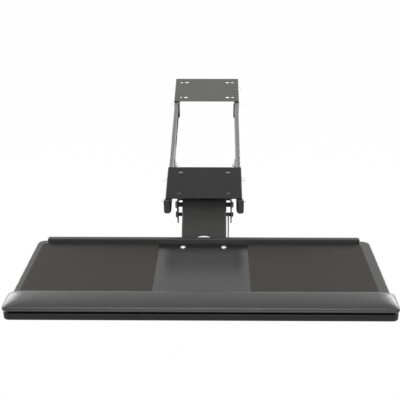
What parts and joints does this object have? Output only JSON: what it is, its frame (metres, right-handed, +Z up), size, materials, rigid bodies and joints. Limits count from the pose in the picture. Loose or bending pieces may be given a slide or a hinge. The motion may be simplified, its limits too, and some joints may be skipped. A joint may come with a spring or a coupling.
{
  "type": "keyboard tray under desk",
  "caption": "Keyboard tray on a sliding, swivelling parallel lift arm under a desk, with wrist cushion, pads and stop bar.",
  "frame": {"origin": "centre of the front desk bracket's top face, on the underside of the desk", "axes": "+X to the user's right, +Y away from the user along the slides, +Z up"},
  "size_m": [0.696, 0.8476, 0.1735],
  "materials": {
    "black_bracket": "semi-matt black powder coat on folded steel",
    "arm_paint": "matt black powder coat on folded steel",
    "zinc": "bright zinc plate",
    "rail_zinc": "dull zinc plate on rolled steel",
    "ball_steel": "polished bearing steel",
    "black_plastic": "black moulded plastic",
    "nylon": "natural nylon",
    "board_film": "fine-grained charcoal film on wood fibre board",
    "pad": "fine woven black mat",
    "bar_plastic": "satin black plastic",
    "cushion_skin": "soft charcoal leatherette over foam",
    "base_board": "black lacquered board"
  },
  "bodies": {
    "desk_track": {"front_desk_bracket": "black_bracket", "rear_desk_bracket": "black_bracket", "left_rail": "rail_zinc", "right_rail": "rail_zinc", "rail_screws": "zinc", "rail_nuts": "zinc", "left_end_cap": "black_plastic", "right_end_cap": "black_plastic", "left_rear_stop": "black_plastic", "right_rear_stop": "black_plastic"},
    "left_cage": {"left_ball_cage": "zinc", "left_slide_balls": "ball_steel"},
    "right_cage": {"right_ball_cage": "zinc", "right_slide_balls": "ball_steel"},
    "carriage": {"carriage_plate": "black_bracket", "carriage_bolts": "zinc", "carriage_nuts": "zinc", "left_slide": "rail_zinc", "right_slide": "rail_zinc", "swivel_bolt": "zinc", "swivel_washer": "nylon", "swivel_nut": "zinc"},
    "swivel_yoke": {"yoke": "arm_paint", "yoke_bushes": "nylon", "upper_rear_pin": "zinc", "lower_rear_pin": "zinc", "link_spacers": "black_plastic"},
    "lift_arm": {"arm_shell": "arm_paint", "arm_pivot_tube": "zinc", "arm_bushes": "nylon"},
    "lift_link": {"lower_link": "zinc"},
    "lift_rod": {"side_rod": "zinc"},
    "head": {"tilt_head": "arm_paint", "upper_front_pin": "zinc", "lower_front_pin": "zinc", "head_spacers": "black_plastic", "tilt_bolt": "zinc", "tilt_washers": "nylon"},
    "knob": {"tilt_knob": "black_plastic"},
    "tray": {"tray_bracket": "arm_paint", "tray_board": "board_film", "left_pad": "pad", "right_pad": "pad", "rear_stop_bar": "bar_plastic", "tray_bolts": "zinc", "tray_nuts": "zinc", "bracket_screws": "zinc", "bar_screws": "zinc", "tray_edge_screws": "zinc", "palm_rest_screws": "zinc", "palm_rest_base": "base_board", "palm_rest_board": "base_board", "palm_rest_cushion": "cushion_skin"}
  },
  "joints": [
    {"name": "carriage_slide", "type": "slide", "parent": "desk_track", "child": "carriage", "axis": [0, -1, 0], "range_m": [-0.16, 0]},
    {"name": "left_cage_roll", "type": "slide", "parent": "desk_track", "child": "left_cage", "axis": [0, -1, 0], "range_m": [-0.08, 0]},
    {"name": "right_cage_roll", "type": "slide", "parent": "desk_track", "child": "right_cage", "axis": [0, -1, 0], "range_m": [-0.08, 0]},
    {"name": "swivel", "type": "hinge", "parent": "carriage", "child": "swivel_yoke", "pos_m": [0, 0.032, -0.04], "axis": [0, 0, 1], "range_deg": [-45, 45]},
    {"name": "arm_lift", "type": "hinge", "parent": "swivel_yoke", "child": "lift_arm", "pos_m": [0, -0.004, -0.057], "axis": [-1, 0, 0], "range_deg": [-17, 33]},
    {"name": "link_swing", "type": "hinge", "parent": "swivel_yoke", "child": "lift_link", "pos_m": [0, -0.004, -0.084], "axis": [-1, 0, 0], "range_deg": [-17, 33]},
    {"name": "rod_swing", "type": "hinge", "parent": "swivel_yoke", "child": "lift_rod", "pos_m": [0, -0.004, -0.084], "axis": [-1, 0, 0], "range_deg": [-17, 33]},
    {"name": "head_level", "type": "hinge", "parent": "lift_arm", "child": "head", "pos_m": [0, -0.11878, -0.11803], "axis": [-1, 0, 0], "range_deg": [-33, 17]},
    {"name": "tray_tilt", "type": "hinge", "parent": "head", "child": "tray", "pos_m": [0, -0.15178, -0.10603], "axis": [1, 0, 0], "range_deg": [-3.6, 31.4]},
    {"name": "knob_turn", "type": "hinge", "parent": "head", "child": "knob", "pos_m": [0.0463, -0.15178, -0.10603], "axis": [1, 0, 0], "range_deg": [0, 360]}
  ],
  "couplings": [
    {"joint": "left_cage_roll", "follows": "carriage_slide", "ratio": 0.5},
    {"joint": "right_cage_roll", "follows": "carriage_slide", "ratio": 0.5},
    {"joint": "link_swing", "follows": "arm_lift", "ratio": 1},
    {"joint": "rod_swing", "follows": "arm_lift", "ratio": 1},
    {"joint": "head_level", "follows": "arm_lift", "ratio": -1}
  ]
}
